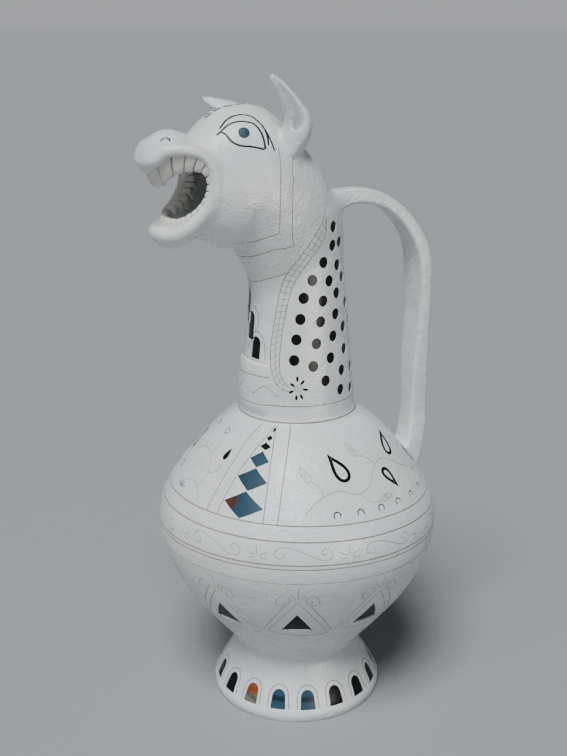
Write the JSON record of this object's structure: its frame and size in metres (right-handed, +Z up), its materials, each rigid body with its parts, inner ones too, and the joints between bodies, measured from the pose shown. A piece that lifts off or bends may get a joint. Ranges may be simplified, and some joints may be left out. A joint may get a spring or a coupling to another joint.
{
  "type": "oinochoe",
  "caption": "Tall white-glazed ceramic wine jug with a round body on a flared foot, a strap handle and a braying animal head with an open toothed mouth as its spout.",
  "frame": {"origin": "centre of the flat underside of the foot, on the axis of the body and neck", "axes": "+Z up the axis of the body; -X towards the spout, the way the animal looks; +X towards the handle"},
  "size_m": [0.2756, 0.2584, 0.5815],
  "materials": {
    "white_glaze": "satin"
  },
  "bodies": {
    "root": {"foot": "white_glaze", "body": "white_glaze", "neck": "white_glaze", "head": "white_glaze", "handle": "white_glaze"}
  },
  "joints": []
}
